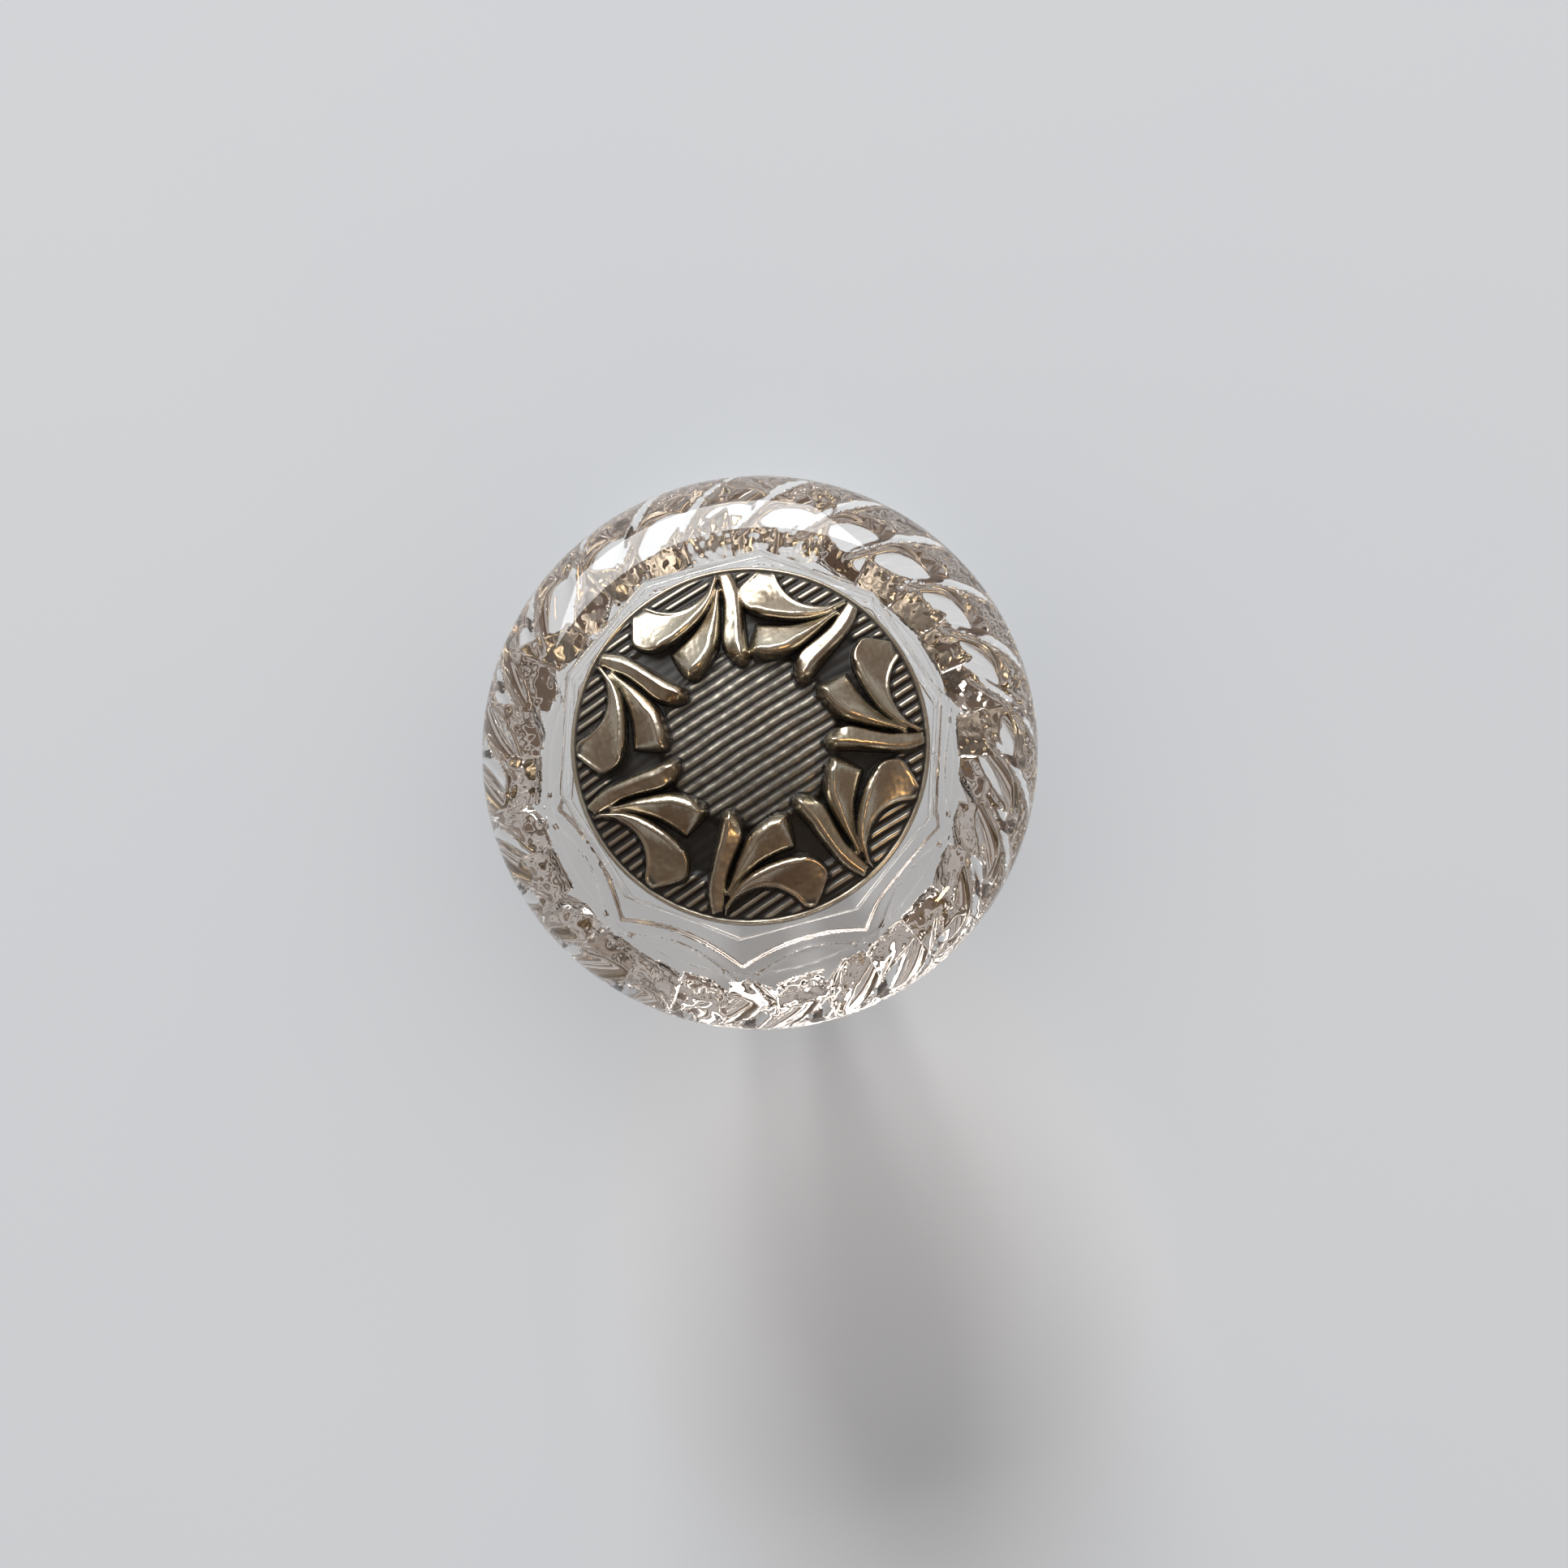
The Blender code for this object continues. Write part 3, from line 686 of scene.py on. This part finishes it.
def add_plate():
    r = plate_box.half_x
    profile = [(0.02, 0.385), (r - 0.05, 0.385), (r - 0.01, 0.36), (r, 0.31),
               (r, 0.03), (r - 0.02, 0.0), (r - 0.07, -0.02), (r - 0.26, -0.02),
               (r - 0.31, -0.005), (r - 0.37, 0.012), (r - 0.44, 0.012),
               (r - 0.50, -0.01), (r - 0.58, -0.045), (r - 0.75, -0.058),
               (1.6, -0.066), (0.02, -0.07)]
    return add_piece("plate", turned_rings(profile),
                     brass_material("plate_brass", (0.29, 0.252, 0.205)),
                     "shank_plate", sharp=50)


def add_solder(x):
    profile = [(0.05, -0.02), (0.98, -0.03), (0.95, -0.066), (0.84, -0.085), (0.73, -0.13),
               (0.65, -0.20), (0.60, -0.29), (0.56, -0.40), (0.50, -0.41), (0.05, -0.41)]
    return add_piece("solder", turned_rings(profile, n=56, at=(x, 0.0), waver=0.012),
                     brass_material("solder", (0.40, 0.37, 0.325)), sharp=60)


def wire_rings(n=36):
    """The loop of bent wire: legs splayed in the glass, straight through the plate, and
    the round eye."""
    wire_r = wire_box.half_y
    eye_r = 1.9                        # to the middle of the wire
    splay = min(wire_box.half_x - 0.4, 2.35)
    # (x, z) down the +X leg, then round to the bottom of the eye
    half = [(splay, Z_PAD + 1.62), (2.02, Z_PAD + 1.25), (1.62, Z_PAD + 0.85),
            (1.36, Z_PAD + 0.5), (LEG_X, Z_PAD + 0.1), (LEG_X, Z_PAD - 0.32),
            (LEG_X, Z_PAD - 0.72)]
    for k in range(9):
        a = math.radians(38.0 - 128.0 * k / 8)
        half.append((eye_r * math.cos(a), wire_r + eye_r + eye_r * math.sin(a)))
    path = flow(np.array(half + [(-x, z) for x, z in reversed(half[:-1])]), 8)
    along = np.gradient(path, axis=0)
    along /= np.linalg.norm(along, axis=1)[:, None]
    a = turn(n)
    rings = []
    for i, ((x, z), (along_x, along_z)) in enumerate(zip(path, along)):
        # the wire's thickness wavers along its length
        waver = 1.0 + 0.012 * math.sin(0.37 * i) + 0.008 * math.sin(0.9 * i + 1.0)
        side, y = wire_r * waver * np.cos(a), wire_r * waver * np.sin(a)
        rings.append(np.stack([x - side * along_z, y, z + side * along_x], 1))
    for end in (0, -1):
        rings[end] = rings[end] * 0.4 + rings[end].mean(0) * 0.6
    # shift the part below the pad so that the eye just touches the table
    low = min(r[:, 2].min() for r in rings)
    for r in rings:
        r[:, 2] -= low * np.clip((Z_PAD - r[:, 2]) / Z_PAD, 0, 1)
    return rings


def add_backing():
    box = cad_box("medallion_backing")
    r, low, top = box.half_x, box.bottom - Z_PAD, box.top - Z_PAD
    profile = [(0.02, top), (r - 0.05, top), (r - 0.01, top - 0.03), (r, top - 0.09),
               (r, low + 0.07), (r - 0.03, low + 0.02), (r - 0.09, low),
               (r * 0.72, low), (r * 0.70, low + 0.02), (r * 0.66, low + 0.02),
               (r * 0.64, low), (0.02, low)]
    add_piece("backing", turned_rings(profile, at=MED_AT),
              brass_material("backing_brass", (0.42, 0.37, 0.29)),
              "medallion_backing", sharp=50)


# light gathered by the glass washes out the shadows of the plate and solder
for obj in (add_plate(), add_solder(-LEG_X), add_solder(LEG_X)):
    obj.visible_shadow = False
add_piece("loop", wire_rings(), brass_material("wire_brass", (0.52, 0.43, 0.29)),
          "shank_loop")
add_backing()


# -------------------------------------------------------------------------- cement
def cement_material():
    mat, t, bsdf, out, coords = new_material("cement")
    colour = t.ramp(t.noise(coords, scale=500.0),
                    [(0.3, (0.17, 0.142, 0.118)), (0.7, (0.30, 0.262, 0.228))])
    t.fill(bsdf, {"Base Color": colour, "Roughness": 0.45})
    return mat


def cement_rings(n=360):
    """A squeezed-out disc of adhesive, its edge uneven."""
    a = turn(n)
    low, top, r = cement_box.bottom, cement_box.top, cement_box.half_x
    lump = (0.05 * np.sin(4 * a + 0.3) + 0.05 * np.sin(9 * a + 2.0) + 0.03 * np.sin(17 * a)
            + 0.02 * np.sin(31 * a + 1.0))
    # (radius, height above the table, share of the lumps)
    profile = [(0.02, top, 0), (r - 0.30, top, 0.6), (r - 0.10, top - 0.02, 0.9),
               (r - 0.02, top - 0.08, 1), (r, (low + top) / 2, 1), (r - 0.04, low + 0.05, 1),
               (r - 0.14, low + 0.01, 0.9), (r - 0.6, low, 0.8), (4.6, low + 0.015, 0.5),
               (2.2, low, 0.2), (0.02, low + 0.01, 0)]
    return [ring(a, radius + lump * share, z, MED_AT) for radius, z, share in profile]


add_piece("cement", cement_rings(), cement_material(), "cement_bed")


# --------------------------------------------------------------------------- stage
def add_table(half=0.9):
    mesh = bpy.data.meshes.new("table")
    mesh.from_pydata([(-half, -half, 0), (half, -half, 0), (half, half, 0),
                      (-half, half, 0)], [], [(0, 1, 2, 3)])
    obj = bpy.data.objects.new("table", mesh)
    bpy.context.scene.collection.objects.link(obj)
    mat, t, bsdf, out, coords = new_material("table")
    colour = t.ramp(t.noise(coords, scale=30.0, detail=3.0),
                    [(0.3, (0.735, 0.762, 0.787)), (0.7, (0.755, 0.775, 0.79))])
    t.fill(bsdf, {"Base Color": colour, "Roughness": 0.6, "Specular IOR Level": 0.0})
    mesh.materials.append(mat)


def from_angles(azimuth, elevation):
    a, e = math.radians(azimuth), math.radians(elevation)
    return (math.cos(e) * math.cos(a), math.cos(e) * math.sin(a), math.sin(e))


def towards(t, xyz, direction, inner, outer):
    """1 within inner degrees of a direction, 0 beyond outer."""
    x, y, z = (t.math("MULTIPLY", axis, d) for axis, d in zip(xyz, direction))
    dot = t.math("ADD", t.math("ADD", x, y), z)
    return t.new("ShaderNodeMapRange", {
        "From Min": math.cos(math.radians(outer)), "From Max": math.cos(math.radians(inner)),
        "Value": dot}, interpolation_type="SMOOTHSTEP").outputs[0]


def make_world():
    world = bpy.data.worlds.new("room")
    bpy.context.scene.world = world
    world.use_nodes = True
    t = Nodes(world.node_tree)
    coords = t.new("ShaderNodeTexCoord").outputs["Generated"]
    x, y, z = t.new("ShaderNodeSeparateXYZ", {0: coords}).outputs

    # warm dim room low down, pale ceiling overhead
    room = t.ramp(t.math("MULTIPLY", z, 1.0, clamp=True),
                  [(0.0, (0.205, 0.160, 0.130)), (0.35, (0.22, 0.182, 0.158)),
                   (0.72, (0.42, 0.40, 0.385)), (1.0, (0.52, 0.52, 0.52))])
    # the half towards the window is lighter
    side = t.math("MULTIPLY", t.math("ADD", t.math("MULTIPLY", y, 0.5), 0.5), 1.0, clamp=True)
    gain = t.ramp(side, [(0.0, (0.58, 0.455, 0.37)), (0.5, (0.88, 0.835, 0.785)),
                         (1.0, (1.5, 1.55, 1.62))])
    lit = t.mix(1.0, room, gain, blend="MULTIPLY")
    # dark overhead, where the camera hangs
    overhead = towards(t, (x, y, z), from_angles(-80, 86), inner=6, outer=24)
    glow = t.mix(overhead, lit, (0.13, 0.115, 0.10))
    # matt things see a greyer, stronger room
    matt = t.new("ShaderNodeLightPath").outputs["Is Diffuse Ray"]
    back = t.new("ShaderNodeBackground", {
        "Color": t.mix(matt, glow, t.mix(0.55, glow, (0.30, 0.30, 0.31))),
        "Strength": t.math("ADD", 1.0, t.math("MULTIPLY", matt, 0.38))})
    world.cycles.sampling_method = "NONE"
    seen = t.new("ShaderNodeBackground", {"Color": (0.62, 0.63, 0.645)})
    camera_ray = t.new("ShaderNodeLightPath").outputs["Is Camera Ray"]
    both = t.new("ShaderNodeMixShader", {0: camera_ray, 1: back.outputs[0],
                                         2: seen.outputs[0]})
    t.new("ShaderNodeOutputWorld", {"Surface": both.outputs[0]})


def area_light(name, size, power, colour):
    """A rectangle for a (width, height) size in metres, a disc for a diameter."""
    data = bpy.data.lights.new(name, "AREA")
    if isinstance(size, tuple):
        data.shape = "RECTANGLE"
        data.size, data.size_y = size
    else:
        data.shape = "DISK"
        data.size = size
    data.energy = power
    data.color = colour
    obj = bpy.data.objects.new(name, data)
    bpy.context.scene.collection.objects.link(obj)
    return obj


def aim(obj, azimuth, elevation, distance):
    """Places a light that way from the button, facing it."""
    direction = Vector(from_angles(azimuth, elevation)).normalized()
    obj.location = direction * distance + Vector((0, 0, 0.01))
    obj.rotation_euler = direction.to_track_quat("Z", "Y").to_euler()


def add_lights():
    # a low window lights the table; a larger pale wall above it shows only in the glass
    window = area_light("window", size=(0.44, 0.24), power=21.5, colour=(0.96, 0.98, 1.0))
    aim(window, azimuth=103, elevation=19, distance=1.3)
    window.visible_glossy = False
    card = area_light("card", size=(0.52, 0.38), power=4.5, colour=(0.97, 0.99, 1.0))
    aim(card, azimuth=107, elevation=35, distance=0.5)
    card.visible_diffuse = False
    # light the glass gathers and throws on the table below it
    gathered = area_light("gathered", size=2 * 0.62 * R_OUT * MM, power=0.00042,
                          colour=(0.98, 0.99, 1.0))
    gathered.location = (0, 0.004, (Z_PAD - 0.5) * MM)
    gathered.visible_camera = gathered.visible_glossy = False
    gathered.visible_transmission = False
    # a small warm lamp
    lamp = area_light("lamp", size=(0.035, 0.035), power=0.28, colour=(1.0, 0.60, 0.26))
    aim(lamp, azimuth=-35, elevation=38, distance=0.5)
    lamp.visible_diffuse = False


# the camera: tilts and angle of view in degrees; the rest in radii of the button
TILT_X, TILT_Y, VIEW_ANGLE = 1.0, -5.0, 35.8
VIEW_HALF = 2.824561                   # half the view's width at the widest circle
SHIFT_RIGHT, SHIFT_DOWN = 0.0877193, 0.1198830


def add_camera():
    half_tan = math.tan(math.radians(VIEW_ANGLE) / 2)
    back = Vector((math.tan(math.radians(TILT_X)), math.tan(math.radians(TILT_Y)), 1.0))
    back.normalize()
    up = back.cross(Vector((1, 0, 0))).normalized()
    right = up.cross(back).normalized()
    radius = R_OUT * MM
    data = bpy.data.cameras.new("camera")
    data.sensor_fit = "HORIZONTAL"
    data.sensor_width = 36.0
    data.lens = data.sensor_width / 2 / half_tan
    data.clip_start = 0.005
    data.clip_end = 10.0
    camera = bpy.data.objects.new("camera", data)
    matrix = Matrix((right, up, back)).transposed().to_4x4()
    matrix.translation = (Vector((0, 0, (Z_PAD + GIRDLE_Z) * MM))
                          + back * (VIEW_HALF * radius / half_tan)
                          + right * (SHIFT_RIGHT * radius) - up * (SHIFT_DOWN * radius))
    camera.matrix_world = matrix
    bpy.context.scene.collection.objects.link(camera)
    bpy.context.scene.camera = camera


def set_render():
    scene = bpy.context.scene
    scene.view_settings.view_transform = "Standard"
    cycles = scene.cycles
    cycles.max_bounces = 24
    cycles.transmission_bounces = 20
    cycles.glossy_bounces = 10
    cycles.diffuse_bounces = 4
    cycles.caustics_refractive = False
    cycles.caustics_reflective = False
    cycles.transparent_max_bounces = 24


add_table()
make_world()
add_lights()
add_camera()
set_render()
